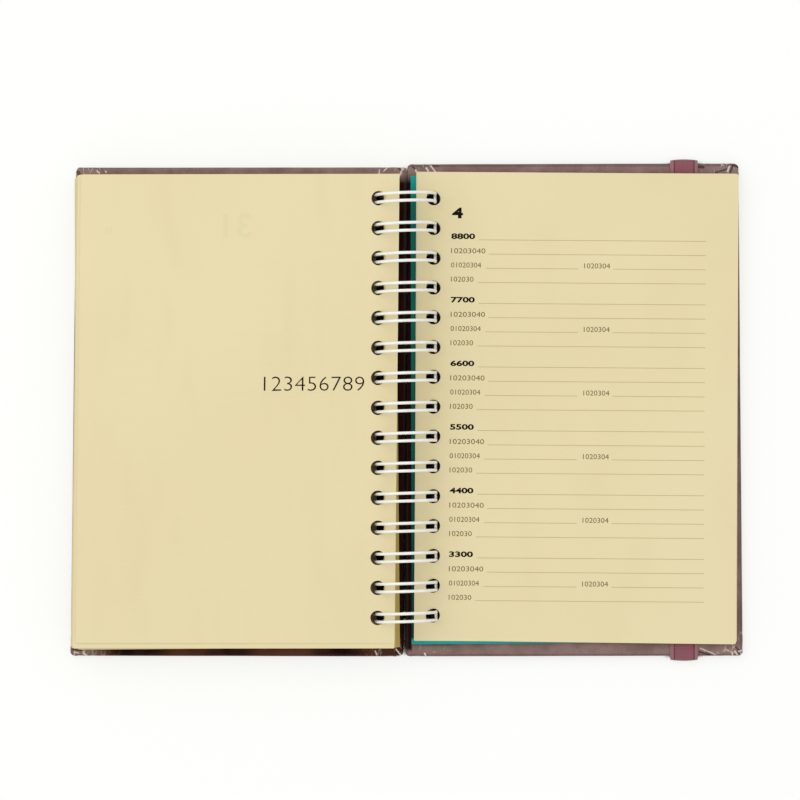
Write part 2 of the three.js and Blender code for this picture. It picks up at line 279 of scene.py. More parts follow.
def level_box(node, side):
    """Lowest and highest corners of a solid in its own half's level frame, in millimetres."""
    back = lean(side).inverted()
    points = [back @ vertex.co for vertex in nodes[node].data.vertices]
    low = Vector([min(p[i] for p in points) for i in range(3)])
    high = Vector([max(p[i] for p in points) for i in range(3)])
    return low, high


def add_piece(name, bm, side, body, material, stands_for=(), smooth_angle=None):
    bmesh.ops.transform(bm, matrix=lean(side), verts=bm.verts[:])
    mesh = bpy.data.meshes.new(name)
    bm.to_mesh(mesh)
    bm.free()
    mesh.materials.append(material)
    piece = bpy.data.objects.new(name, mesh)
    bpy.context.scene.collection.objects.link(piece)
    if smooth_angle is not None:
        mesh.shade_smooth()
        mesh.set_sharp_from_angle(angle=math.radians(smooth_angle))
    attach(piece, body)
    if stands_for:
        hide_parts(*stands_for)


def dress(node, material):
    nodes[node].data.materials.clear()
    nodes[node].data.materials.append(material)


def copy_of(obj):
    """The evaluated mesh of an object with modifiers, as a bmesh."""
    graph = bpy.context.evaluated_depsgraph_get()
    bm = bmesh.new()
    mesh = bpy.data.meshes.new_from_object(obj.evaluated_get(graph))
    bm.from_mesh(mesh)
    bpy.data.meshes.remove(mesh)
    return bm


loop_count = 15
loop_pitch = 12.7
row_rise = 1.1
loop_ys = [row_rise + (i - (loop_count - 1) / 2) * loop_pitch for i in range(loop_count)]
cover_hole_setback = 7.2
cover_hole_radius = 3.75


def cover_hole_x(side, low, high):
    edge = high.x if side == LEFT else low.x
    return edge + side * cover_hole_setback


def corner_nearness(x, y, low, high, reach):
    """1 at a corner of the cover, falling to 0 at the given reach from it."""
    dx = min(abs(x - low.x), abs(x - high.x))
    dy = min(abs(y - low.y), abs(y - high.y))
    return max(0.0, 1 - math.hypot(dx, dy) / reach)


# How far east or north of its solid's edge each cover's west, south, east and north edge lies. The front
# cover hangs a little low and turned on the wire. Neither cover is quite square: the head of its west and of
# its east edge lies this far east of the middle.
case_slip = {LEFT: (0.35, -0.5, 0.0, -0.5), RIGHT: (0.0, -0.5, 0.2, 0.8)}
cover_turn = {LEFT: -0.2, RIGHT: 0.0}
cover_slant = {LEFT: (0.85, 0.85), RIGHT: (0.7, -0.5)}


def cover_box(node, side):
    """A cover solid's box with its slips added."""
    low, high = level_box(node, side)
    west, south, east, north = case_slip[side]
    return low + Vector((west, south, 0)), high + Vector((east, north, 0))


def turn_cover(bm, side):
    """Skews a cover's piece and turns it on the wire."""
    low, high = level_box(f"{cover_names[side]}_wrap", side)
    west, east = cover_slant[side]
    for vertex in bm.verts:
        share = (vertex.co.x - low.x) / (high.x - low.x)
        vertex.co.x += (west + (east - west) * share) * vertex.co.y / high.y
    turn = Matrix.Rotation(math.radians(cover_turn[side]), 4, "Z")
    bmesh.ops.transform(bm, matrix=turn, verts=bm.verts[:])
    return bm


def punch_cover(bm, side, low, high):
    """Cuts the row of round holes through a board or its wrap."""
    mesh = bpy.data.meshes.new("case")
    bm.to_mesh(mesh)
    bm.free()
    case = bpy.data.objects.new("case", mesh)
    punch_bm = bmesh.new()
    for y in loop_ys:
        place = Matrix.Translation((cover_hole_x(side, low, high), y, (low.z + high.z) / 2))
        bmesh.ops.create_cone(
            punch_bm, cap_ends=True, segments=28, radius1=cover_hole_radius, radius2=cover_hole_radius,
            depth=6.0, matrix=place,
        )
    punch_mesh = bpy.data.meshes.new("punch")
    punch_bm.to_mesh(punch_mesh)
    punch_bm.free()
    punch = bpy.data.objects.new("punch", punch_mesh)
    for obj in (case, punch):
        bpy.context.scene.collection.objects.link(obj)
    cut = case.modifiers.new("holes", "BOOLEAN")
    cut.operation = "DIFFERENCE"
    cut.solver = "EXACT"
    cut.object = punch
    made = copy_of(case)
    for obj in (case, punch):
        bpy.data.objects.remove(obj)
    return made


def slab(low, high):
    """A flat block with its four upright edges rounded."""
    bm = bmesh.new()
    bmesh.ops.create_cube(bm, size=1.0)
    bmesh.ops.scale(bm, vec=high - low, verts=bm.verts[:])
    bmesh.ops.translate(bm, vec=(high + low) / 2, verts=bm.verts[:])
    upright = [e for e in bm.edges if abs(e.verts[0].co.z - e.verts[1].co.z) > 1]
    bmesh.ops.bevel(bm, geom=upright, offset=cover_corner_radius, segments=5, profile=0.5,
                    affect="EDGES", material=-1)
    return bm


def slice_up(bm, axis, places):
    """Cuts a mesh across one axis, so that it can bend there."""
    normal = Vector([float(i == axis) for i in range(3)])
    for place in places:
        geom = bm.verts[:] + bm.edges[:] + bm.faces[:]
        bmesh.ops.bisect_plane(bm, geom=geom, plane_co=normal * place, plane_no=normal)


def cover_board(side):
    """The grey board, which shows only as its hole walls and where the wrap is open."""
    low, high = cover_box(f"{cover_names[side]}_board", side)
    case_low, case_high = cover_box(f"{cover_names[side]}_wrap", side)
    return turn_cover(punch_cover(slab(low, high), side, case_low, case_high), side)


def cover_case(side):
    """The laminated wrap, cut finely along its edges so that it can crumple there."""
    low, high = cover_box(f"{cover_names[side]}_wrap", side)
    bm = slab(low, high)
    rim = [e for e in bm.edges if abs(e.verts[0].co.z - e.verts[1].co.z) < 0.01 and len(e.link_faces) == 2
           and abs(e.link_faces[0].normal.z - e.link_faces[1].normal.z) > 0.5]
    bmesh.ops.bevel(bm, geom=rim, offset=cover_edge_radius, segments=3, profile=0.5,
                    affect="EDGES", material=-1)
    fine = [edge_cut * k for k in range(1, 12)]
    for axis, ends in ((0, (low.x, high.x)), (1, (low.y, high.y))):
        cuts = [ends[0] + f for f in fine] + [ends[1] - f for f in fine]
        inner = ends[0] + middle_cut * 1.5
        while inner < ends[1] - middle_cut * 1.5:
            cuts.append(inner)
            inner += middle_cut
        slice_up(bm, axis, cuts)
    made = punch_cover(bm, side, low, high)
    # Crumpled corners, and a wrap that isn't quite straight along its edges.
    for vertex in made.verts:
        x, y, z = vertex.co
        near = corner_nearness(x, y, low, high, crumple_reach)
        edge = min(abs(x - low.x), abs(x - high.x), abs(y - low.y), abs(y - high.y))
        rumple = noise.noise_vector(Vector((x, y, z)) * 0.45) * crumple_depth * near
        drift = noise.noise_vector(Vector((x, y, 0)) * 0.035) * edge_drift * max(0.0, 1 - edge / 3)
        inward = Vector((-(x > high.x - 3) + (x < low.x + 3), -(y > high.y - 3) + (y < low.y + 3), 0))
        if inward.x == side:
            inward.x = 0
        sink = -abs(rumple.z) if z > (low.z + high.z) / 2 else abs(rumple.z)
        vertex.co += Vector((rumple.x, rumple.y, sink))
        vertex.co += inward * (edge_inset + 0.5 * abs(drift.x))
    return turn_cover(made, side)


# Creases in the film on the inside of each cover: from, to (millimetres in the frame), half width, and
# whether they are dark or white. The dark ones are painted shade in the folds.
creases = {
    LEFT: [
        (-140.0, 102.3, -138.6, 99.6, 0.7, "dark"), (-141.6, 99.8, -140.6, 98.4, 0.35, "white"),
        (-131.9, 102.9, -130.9, 101.9, 0.3, "white"), (-128.3, 102.9, -128.0, 102.3, 0.25, "white"),
        (-11.0, 103.0, -11.1, 101.2, 0.25, "white"), (-9.1, 102.3, -7.4, 104.0, 0.22, "white"),
        (-3.1, 103.9, -1.5, 101.9, 0.3, "dark"), (-2.2, 104.3, -0.6, 102.9, 0.2, "white"),
        (-1.4, 102.9, -2.6, 99.6, 0.25, "white"), (-13.2, -102.6, -12.5, -104.1, 0.3, "white"),
        (-4.4, -101.8, -2.3, -104.4, 0.28, "white"), (-5.0, -101.6, -3.0, -104.4, 0.3, "dark"),
        (-3.3, -101.2, -1.4, -103.6, 0.3, "dark"), (-137.9, -103.3, -136.7, -104.2, 0.4, "white"),
        (-142.3, -101.4, -139.0, -102.0, 0.5, "dark"), (-141.9, -102.8, -140.0, -103.2, 0.25, "white"),
    ],
    RIGHT: [
        (3.1, 104.2, 4.3, 102.7, 0.32, "dark"), (4.5, 102.6, 4.8, 101.9, 0.4, "white"),
        (9.0, 103.5, 10.1, 101.7, 0.35, "white"), (10.9, 104.4, 13.1, 101.6, 0.3, "white"),
        (14.3, 104.4, 12.0, 104.2, 0.25, "dark"), (140.2, 105.0, 138.7, 101.2, 0.35, "dark"),
        (140.4, 104.2, 142.4, 103.4, 0.4, "dark"), (138.4, 103.8, 138.0, 103.0, 0.32, "white"),
        (137.9, 102.5, 137.6, 101.7, 0.35, "white"), (137.2, 102.7, 132.5, 101.2, 0.3, "dark"),
        (124.8, 103.7, 127.3, 103.5, 0.55, "dark"), (140.3, -101.0, 141.7, -102.7, 0.35, "dark"),
        (141.0, -103.4, 142.1, -104.6, 0.4, "dark"), (141.6, -103.0, 142.8, -102.6, 0.28, "white"),
        (139.9, -102.9, 141.0, -104.4, 0.3, "white"), (138.9, -104.4, 140.0, -104.9, 0.3, "dark"),
        (138.9, -103.6, 139.0, -104.6, 0.3, "white"), (124.8, -103.1, 129.5, -104.5, 0.4, "dark"),
        (125.2, -101.6, 131.6, -104.3, 0.18, "white"), (7.9, -103.6, 8.2, -104.4, 0.35, "white"),
    ],
}


def laminate_finish(side):
    low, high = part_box("front_cover_wrap" if side == LEFT else "back_cover_wrap")
    name = "plum_laminate" if side == LEFT else "plum_laminate_back"
    finish = Finish(name, Specular_IOR_Level=0.06, Coat_Roughness=0.25)
    x, y, _ = finish.axes()
    cloud = finish.noise(9.0, 3.0)
    grain = finish.noise(0.9, 4.0)
    colour = finish.blend(finish.ramp(cloud, 0.35, 0.7), srgb(126, 100, 94), srgb(152, 124, 118))
    colour = finish.blend(finish.ramp(grain, 0.5, 0.8) * 0.45, colour, srgb(104, 76, 72))
    # Dark maroon, nearly black, along the spine, inside the head and tail: partly the print's own colour and
    # partly painted shade of the deep gutter. At the very edge it runs nearer to the tail.
    from_spine = abs(x - (high[0] if side == LEFT else low[0]))
    from_end = (y - low[1]).least(high[1] - y)
    broad = finish.ramp(from_spine, 0.021, 0.018) * finish.ramp(y - low[1], 0.0035, 0.0075)
    narrow = finish.ramp(from_spine, 0.0026, 0.0018) * finish.ramp(y - low[1], 0.0012, 0.003)
    spine = broad.most(narrow) * finish.ramp(high[1] - y, 0.0035, 0.0075)
    dark = spine
    if side == LEFT:
        # Painted shade: the tail border of the front cover, below the thick stack of leaves, is coloured dark
        # too, but redder.
        from_corner = finish.ramp(x - low[0], 0.008, 0.016)
        wide = finish.ramp(finish.noise(24.0, 2.0), 0.35, 0.6)
        tail = finish.ramp(y - low[1], 0.009, 0.007) * from_corner
        colour = finish.blend(tail, colour, finish.blend(wide, srgb(30, 4, 4), srgb(96, 56, 40)))
        dark = spine.most(tail)
    finish.feed(finish.shader.inputs["Coat Weight"], 0.25 - dark * 0.25)
    # Painted gutter shade over the print's dark maroon: near black along the spine.
    colour = finish.blend(spine, colour, finish.blend(cloud, srgb(10, 1, 1), srgb(46, 12, 8)))
    from_side = (x - low[0]).least(high[0] - x)
    rim = from_side.least(from_end)
    colour = finish.blend(finish.ramp(rim, 0.0008, 0.0004) * 0.4, colour, srgb(74, 50, 46))
    # White crackle where the film has split at the corners.
    away = (from_side * from_side + from_end * from_end) ** 0.5
    corner = finish.ramp(away, 0.021, 0.004)
    stretch = finish.node("ShaderNodeMapping", None, {
        "Vector": finish.place, "Rotation": (0.0, 0.0, 0.7), "Scale": (420.0, 150.0, 300.0),
    })
    cells = {"Vector": stretch, "Scale": 1.0}
    split = finish.node("ShaderNodeTexVoronoi", {"feature": "DISTANCE_TO_EDGE"}, cells)
    patch = finish.ramp(finish.noise(3.0, 2.0), 0.5, 0.62)
    crack = finish.ramp(split, 0.075, 0.02) * patch * corner * (1.0 - spine)
    colour = finish.blend(crack * 0.6, colour, srgb(238, 222, 214))
    masks = {"dark": 0.0, "white": 0.0}
    ragged = (finish.noise(0.5, 2.0) - 0.5) * 0.0006
    for x0, y0, x1, y1, half, kind in creases[side]:
        away = finish.to_line(x, y, (x0 * MM, y0 * MM), (x1 * MM, y1 * MM)) + ragged
        mask = finish.ramp(away, (half + 0.12) * MM, (half - 0.12) * MM)
        masks[kind] = mask.most(masks[kind])
    # Painted shade along the dark creases.
    colour = finish.blend(masks["dark"] * 0.8, colour, srgb(52, 32, 30))
    colour = finish.blend(masks["white"] * 0.85, colour, srgb(236, 220, 212))
    height = grain * 0.3 + cloud + crack * -1.0 + masks["dark"] * -1.5
    return finish.paint(colour, 0.38 + grain * 0.12 + crack * 0.3, height, 0.1)


def board_finish():
    finish = Finish("grey_board")
    fibre = finish.noise(0.5, 4.0, (1, 1, 0.4))
    colour = finish.blend(fibre, srgb(150, 143, 131), srgb(178, 170, 156))
    return finish.paint(colour, 0.9, fibre, 0.06)


def lining_finish():
    finish = Finish("maroon_endpaper")
    fibre = finish.noise(0.35, 4.0)
    cloud = finish.noise(14.0, 2.0)
    colour = finish.blend(cloud, srgb(66, 28, 30), srgb(84, 40, 40))
    colour = finish.blend(fibre * 0.3, colour, srgb(48, 20, 22))
    return finish.paint(colour, 0.55 + fibre * 0.2, fibre, 0.02)


grey_board = board_finish()
endpaper = lining_finish()
for side, cover in cover_names.items():
    add_piece(f"{cover}_case", cover_case(side), side, cover, laminate_finish(side),
              (f"{cover}_wrap",), 40)
    add_piece(f"{cover}_grey_board", cover_board(side), side, cover, grey_board,
              (f"{cover}_board",))


def lining_sheet(side):
    """Endpaper glued over the turned-in wrap, with its edges a little softened."""
    low, high = level_box(f"{cover_names[side]}_lining", side)
    bm = bmesh.new()
    bmesh.ops.create_cube(bm, size=1.0)
    bmesh.ops.scale(bm, vec=(high.x - low.x, high.y - low.y, endpaper_thickness), verts=bm.verts[:])
    middle = (high + low) / 2
    middle.z = level_box(f"{cover_names[side]}_wrap", side)[1].z + endpaper_thickness / 2
    bmesh.ops.translate(bm, vec=middle, verts=bm.verts[:])
    bmesh.ops.bevel(bm, geom=bm.edges[:], offset=0.04, segments=2, profile=0.5, affect="EDGES", material=-1)
    return turn_cover(bm, side)


for side, cover in cover_names.items():
    add_piece(f"{cover}_endpaper", lining_sheet(side), side, cover, endpaper, (f"{cover}_lining",))


# The leaves.
# Each leaf is thin uncoated cream paper, punched with round holes along its binding edge. They lie in a
# stack, where no leaf is quite flush with the next, and the holes follow the curve of the rings.
page_width = 137.0
page_corner = 0.9
left_slant = 0.0105
hole_setback = 7.5
hole_radius = 3.1
stack_hole_radius = 3.35
leaf_pitch = 0.076
leaf_thickness = 0.062


def punched_sheet(side, width, low, high, holes, facets, reach=0.0, radius=hole_radius):
    """A flat punched sheet whose line of holes lies about X = 0, as a single layer of faces."""
    bm = bmesh.new()
    bmesh.ops.create_grid(bm, x_segments=1, y_segments=1, size=0.5)
    near = -side * (hole_setback + reach)
    bmesh.ops.scale(bm, vec=(width, high - low, 1), verts=bm.verts[:])
    bmesh.ops.translate(bm, vec=(near + side * width / 2, (high + low) / 2, 0), verts=bm.verts[:])
    outer = [v for v in bm.verts if abs(v.co.x) > width / 2]
    bmesh.ops.bevel(bm, geom=outer, offset=page_corner, segments=4, profile=0.5,
                    affect="VERTICES", material=-1)
    bmesh.ops.delete(bm, geom=bm.faces[:], context="FACES_ONLY")
    for hole in holes:
        bmesh.ops.create_circle(bm, cap_ends=False, segments=facets, radius=radius,
                                matrix=Matrix.Translation(hole))
    bmesh.ops.triangle_fill(bm, edges=bm.edges[:], use_beauty=False, use_dissolve=False)
    for face in bm.faces:
        if face.normal.z < 0:
            face.normal_flip()
    return bm


def thicken(bm, thickness):
    """Closes a layer of faces into a sheet whose underside lies where the layer was."""
    bmesh.ops.solidify(bm, geom=bm.faces[:], thickness=thickness)
    drop = min(v.co.z for v in bm.verts)
    bmesh.ops.translate(bm, vec=(0, 0, -drop), verts=bm.verts[:])
    bmesh.ops.recalc_face_normals(bm, faces=bm.faces[:])


def paper_finish():
    finish = Finish("cream_paper")
    cloud = finish.noise(90.0, 1.0)
    fibre = finish.noise(0.6, 4.0, (1, 1.6, 1))
    sheets = finish.noise(0.16, 1.0, (300, 300, 1))
    colour = finish.blend(finish.ramp(cloud, 0.3, 0.7), srgb(232, 218, 173), srgb(236, 222, 178))
    colour = finish.blend(fibre * 0.2, colour, srgb(220, 204, 158))
    colour = finish.blend(finish.ramp(sheets, 0.5, 0.8) * 0.12, colour, srgb(212, 196, 150))
    # The lower leaves on the left are coloured yellower and darker where they stand out into the gutter:
    # partly their own yellow, partly painted shade of the gutter.
    x, _, z = finish.axes()
    gutter_yellow_and_shade = finish.ramp(x, -0.0053, -0.0046) * (x < 0.0) * finish.ramp(z, 0.0125, 0.0105)
    colour = finish.blend(gutter_yellow_and_shade * 0.85, colour, srgb(204, 182, 84))
    return finish.paint(colour, 0.8 + fibre * 0.1, fibre, 0.01)


cream = paper_finish()
months = ["january", "february", "march", "april", "may", "june",
          "july", "august", "september", "october", "november", "december"]
first_body = dict.fromkeys(["opening"] + months[:6], "first_half_year")
second_body = dict.fromkeys(months[6:], "second_half_year")
shake = random.Random(7)
wire_radius = 0.65
ring_radius = ring_height - wire_radius
hole_arc = ring_radius - 0.45
top_left_ys = [y - 0.3 for y in loop_ys]
low_left_ys = [y - 0.1 for y in loop_ys]
top_right_ys = [y + 0.5 for y in loop_ys]
low_right_ys = [y + 0.1 for y in loop_ys]
top_row_turn = -0.3
low_row_turn = -0.1
left_stack_top = 6.0
left_stack_height = 14.7
low_part = 0.6
high_part = 0.2
leaf_shake = (0.13, 0.12)
leaf_shake_deg = 0.05
stack_trim = {LEFT: 0.9, RIGHT: 0.0}
stack_tail = {LEFT: -0.35, RIGHT: 1.0}


def slipped(turn_deg, x=0.0, y=0.0, slant=0.0, pivot_x=0.0):
    """How a leaf's outline lies to the rings: turned, slid in millimetres and cut a little aslant."""
    pivot = Matrix.Translation((pivot_x, 0, 0))
    aslant = Matrix.Identity(4)
    aslant[0][1] = slant
    turn = pivot @ Matrix.Rotation(math.radians(turn_deg), 4, "Z") @ pivot.inverted()
    return Matrix.Translation((x, y, 0)) @ aslant @ turn


def hole_centres(hole_ys, slip, row_turn, aside=0.0):
    """Places for the holes in a leaf's own frame, which lie on the rings once the leaf has slipped."""
    row = slip.inverted() @ Matrix.Rotation(math.radians(row_turn), 4, "Z")
    return [row @ Vector((aside, y, 0)) for y in hole_ys]


def stack_slip(side, z):
    """How the leaves at one height have slipped in the heap, and how far aside their holes lie."""
    if side == RIGHT:
        return slipped(-0.4, 0.0, 0.45), 0.0
    depth = min(1.0, max(0.0, (left_stack_top - z) / left_stack_height))
    low_share = max(0.0, (depth - low_part) / (1 - low_part))
    if low_share:
        return slipped(0.1 + 0.3 * low_share, 0.1 - 2.5 * low_share, -0.4), -0.6 * low_share
    high_share = max(0.0, 1 - depth / high_part)
    slip = slipped(-0.05 - 0.3 * depth, 1.0 * depth - 0.25, -0.4 - 0.4 * depth, left_slant)
    return slip, -0.6 * high_share


def row_x(side, low, high):
    """Where the row of holes lies: on the rings' curve at the left, at one place at the right."""
    return -math.sqrt(hole_arc ** 2 - low ** 2) if side == LEFT else high - page_width + hole_setback


def leaf_stack(section, side, hole_ys):
    """The separate leaves of one section, as closed thin sheets with a sliver of air between them."""
    low, high = level_box(section, side)
    slip, aside = stack_slip(side, (low.z + high.z) / 2)
    holes = hole_centres(hole_ys, slip, low_row_turn, aside)
    width = page_width - stack_trim[side]
    template_bm = punched_sheet(side, width, low.y + stack_tail[side], high.y, holes, 16,
                                radius=stack_hole_radius)
    thicken(template_bm, leaf_thickness)
    template = bpy.data.meshes.new("leaf")
    template_bm.to_mesh(template)
    template_bm.free()
    count = int((high.z - low.z) / leaf_pitch)
    bm = bmesh.new()
    for i in range(count):
        before = len(bm.verts)
        bm.from_mesh(template)
        bm.verts.ensure_lookup_table()
        z = low.z + i * leaf_pitch
        aside_x, aside_y = (shake.uniform(-reach, reach) for reach in leaf_shake)
        nudge = (row_x(side, z, high.x) + aside_x, aside_y, z)
        turn = Matrix.Rotation(math.radians(shake.uniform(-leaf_shake_deg, leaf_shake_deg)), 4, "Z")
        bmesh.ops.transform(bm, matrix=Matrix.Translation(nudge) @ turn @ slip, verts=bm.verts[before:])
    bpy.data.meshes.remove(template)
    return bm


for month, body in (first_body | second_body).items():
    node = f"{month}_leaves"
    stack = leaf_stack(node, LEFT, low_left_ys)
    add_piece(f"{month}_leaf_stack", stack, LEFT, body, cream, (node,))


def leaf_lift(x, y, side):
    """How far a top leaf lifts off the stack, at a place counted from its line of holes."""
    out = min(1.0, abs(x) / page_width)
    along = y / 200
    wave = noise.noise(Vector((x * 0.02, y * 0.017, 3.1 * side)))
    return 0.10 * out ** 2 * (0.35 + 1.6 * along ** 2) + 0.04 * (wave + 1) * min(1, out * 4)


def leaf_place(node, side, slip):
    """From a top leaf's own frame to its place in its half."""
    low, high = level_box(node, side)
    return Matrix.Translation((row_x(side, low.z, high.x), 0, low.z + 0.01)) @ slip


lift_xs = [side * (5.0 + 5.5 * k) for side in (LEFT, RIGHT) for k in range(23)]
lift_ys = [-96 + 16.0 * k for k in range(13)]


def top_leaf(node, side, hole_ys, trim, ends, slip, flare=0.0, aside=0.0):
    """The uppermost leaf of a half, gently lifted towards its outer edge and its corners."""
    low, high = level_box(node, side)
    tail, head = ends
    holes = hole_centres(hole_ys, slip, top_row_turn, aside)
    bm = punched_sheet(side, page_width - trim, low.y + tail, high.y + head, holes, 32)
    slice_up(bm, 0, [x for x in lift_xs if x * side > 0])
    slice_up(bm, 1, lift_ys)
    thicken(bm, leaf_thickness)
    for vertex in bm.verts:
        vertex.co.z += leaf_lift(vertex.co.x, vertex.co.y, side)
        vertex.co.y *= 1 + flare * max(0.0, abs(vertex.co.x) / page_width - 0.05) * (vertex.co.y < 0)
    bmesh.ops.transform(bm, matrix=leaf_place(node, side, slip), verts=bm.verts[:])
    return bm


left_slip = slipped(-0.13, slant=left_slant)
right_slip = slipped(-0.55, pivot_x=30.0)
title_trim = 1.6
title_ends = (-1.2, -0.35)
contacts_ends = (1.25, 0.5)
contacts_flare = 0.007
title_page = top_leaf("section_title_leaf", LEFT, top_left_ys, title_trim, title_ends, left_slip, aside=-0.5)
add_piece("title_page", title_page, LEFT, "title_leaf", cream, ("section_title_leaf",), 30)
contacts_page = top_leaf("contacts_leaf", RIGHT, top_right_ys, 0.0, contacts_ends, right_slip,
                         contacts_flare)
add_piece("contacts_page", contacts_page, RIGHT, "top_contacts_leaf", cream,
          ("contacts_leaf",), 30)
contacts_stack = leaf_stack("contacts_leaves", RIGHT, low_right_ys)
add_piece("contacts_leaf_stack", contacts_stack, RIGHT, "back_leaves", cream,
          ("contacts_leaves",))


# The teal sheet.
# A smooth coloured sheet lies under the last leaves. It stands out towards the spine and at the tail.
def teal_finish():
    low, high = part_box("teal_sheet")
    finish = Finish("teal_sheet_paper", Specular_IOR_Level=0.15)
    fibre = finish.noise(0.4, 4.0)
    cloud = finish.noise(30.0, 2.0)
    _, y, _ = finish.axes()
    colour = finish.blend(cloud, srgb(0, 100, 94), srgb(2, 116, 110))
    # Painted shade: darker towards the tail, away from the lit head.
    colour = finish.blend(finish.ramp(y, 0.04, -0.1), colour, srgb(0, 62, 62))
    # Painted light: it is coloured brighter where its head and tail stand out of the leaves.
    lit_ends = finish.ramp(high[1] - y, 0.013, 0.001).most(finish.ramp(y - low[1], 0.0028, 0.0018))
    colour = finish.blend(lit_ends, colour, srgb(18, 172, 168))
    colour = finish.blend(fibre * 0.25, colour, srgb(0, 84, 80))
    return finish.paint(colour, 0.6 + fibre * 0.15, fibre, 0.015)


teal_reach = 1.9
teal_tail_rise = 0.007
teal_head_rise = 0.003
teal_side_trim = 0.7
teal_head_trim = 0.85
teal_thinning = 0.06


def teal_leaf():
    low, high = level_box("teal_sheet", RIGHT)
    holes = [Vector((0, y, 0)) for y in low_right_ys]
    width = high.x - low.x - teal_side_trim
    bm = punched_sheet(RIGHT, width, low.y, high.y - teal_head_trim, holes, 24, teal_reach)
    # Its tail edge, and less so its head, climbs a little towards the outer side.
    for vertex in bm.verts:
        rise = teal_head_rise if vertex.co.y > 0 else teal_tail_rise
        vertex.co.y += rise * max(0.0, vertex.co.x - hole_radius - 1)
    thicken(bm, high.z - low.z - teal_thinning)
    bmesh.ops.translate(bm, vec=(low.x + teal_reach + hole_setback, 0, low.z + 0.02), verts=bm.verts[:])
    return bm


add_piece("teal_divider", teal_leaf(), RIGHT, "back_leaves", teal_finish(), ("teal_sheet",))


# The twin-loop wire.
# One bright coated wire is bent into fifteen pairs of prongs along a straight back, which is closed into
# rings. The narrow tips of the pairs meet the back inside the last leaves' holes.
pair_spacing = 3.3
wire_bend = 1.0
wire_lean = 0.03
tip_inset = 0.02
ring_steps = 64
seam_z = level_box("back_cover_wrap", RIGHT)[1].z + 0.1 + wire_radius
seam_angle = math.asin(seam_z / ring_radius)
tip_x = ring_radius - tip_inset
tip_angle = -math.acos(tip_x / ring_radius) - 2 * math.pi


def ring_point(angle, y):
    return Vector((ring_radius * math.cos(angle), y, ring_radius * math.sin(angle)))


def prong(y, toward):
    """One wire of a pair, from the straight back round to the start of the tip."""
    bend = wire_bend / ring_radius
    route = []
    for k in range(5):
        turn = math.pi / 2 * k / 5
        foot = y + toward * wire_bend * (1 - math.sin(turn))
        route.append(ring_point(seam_angle - bend * (1 - math.cos(turn)), foot))
    first = seam_angle - bend
    route += [ring_point(first + (tip_angle - first) * k / ring_steps, y) for k in range(ring_steps + 1)]
    return route


def tip(y):
    radius = pair_spacing / 2
    return [Vector((tip_x, y + radius * math.cos(a), seam_z + radius + radius * math.sin(a)))
            for a in (math.pi + math.pi * k / 12 for k in range(13))]


def wire_route():
    half = pair_spacing / 2
    route = [ring_point(seam_angle, loop_ys[0] - half - wire_bend - 2 * wire_radius)]
    for y in loop_ys:
        route += prong(y - half, -1) + tip(y) + prong(y + half, 1)[::-1]
    route.append(ring_point(seam_angle, loop_ys[-1] + half + wire_bend + 2 * wire_radius))
    return [Vector((p.x, p.y + wire_lean * p.x, p.z)) for p in route]


def wire_mesh():
    curve = bpy.data.curves.new("wire", "CURVE")
    curve.dimensions = "3D"
    curve.bevel_depth = wire_radius
    curve.bevel_resolution = 3
    curve.use_fill_caps = True
    route = wire_route()
    spline = curve.splines.new("POLY")
    spline.points.add(len(route) - 1)
    for point, place in zip(spline.points, route):
        point.co = (*place, 1.0)
    holder = bpy.data.objects.new("wire", curve)
    bpy.context.scene.collection.objects.link(holder)
    bm = copy_of(holder)
    bpy.data.objects.remove(holder)
    bmesh.ops.remove_doubles(bm, verts=bm.verts[:], dist=0.0005)
    bmesh.ops.recalc_face_normals(bm, faces=bm.faces[:])
    return bm


def wire_finish():
    finish = Finish("bright_wire", Metallic=0.2)
    x, _, z = finish.axes()
    draw = finish.noise(1.6, 2.0)
    spots = finish.noise(4.0, 2.0)
    colour = finish.blend(finish.ramp(spots, 0.4, 0.7), srgb(242, 244, 238), srgb(252, 252, 248))
    # Painted reflection and shade: where the seam is pressed against the back cover, down in the shaded
    # holes, the wire is coloured dark teal for the teal sheet it reflects.
    seam_reflection = finish.ramp(x, 0.0085, 0.0095) * finish.ramp(x, 0.0118, 0.0112) * finish.ramp(z, 0.008, 0.007)
    colour = finish.blend(seam_reflection, colour, srgb(46, 122, 108))
    return finish.paint(colour, 0.35 + draw * 0.15, draw, 0.003)


add_piece("binding_wire", wire_mesh(), RIGHT, "back_cover", wire_finish(), ("twin_loop_wire",), 60)


# The elastic closure.
# A flat woven band, its middle of fine ribs with a lighter cord at each side and a dark line of painted shade
# in the groove between, is parked round the back cover. Its ends pass through two slots near head and tail
# and are held by card tabs.
band_ribs = 44
band_trim = 0.7
band_aside = 0.55
band_slant = 0.0035
band_thickness = 0.85
slot_inset = 20.0


def band_route():
    """Middle line of the band's inner face in (y, z), from one slot round the cover to the other."""
    low, high = level_box("elastic_band", RIGHT)
    case_end = level_box("back_cover_wrap", RIGHT)[1].y
    half = 0.5
    over = high.z - half
    under = low.z + half
    slot = case_end - slot_inset + half
    reach = high.y - half + 0.9
    bend = (over - under) / 2
    route = [(slot, over - 1.6), (slot, under + 0.9), (slot + 0.25, under + 0.3), (slot + 0.9, under)]
    route += [(slot + 3 + (reach - bend - slot - 3) * k / 6, under) for k in range(7)]
    middle = (over + under) / 2
    for k in range(1, 12):
        angle = -math.pi / 2 + math.pi * k / 12
        route.append((reach - bend + bend * math.cos(angle), middle + bend * math.sin(angle)))
    run = reach - bend
    route += [(run - 2 * run * k / 80, over) for k in range(41)]
    return route + [(-y, z) for y, z in route[:-1][::-1]]


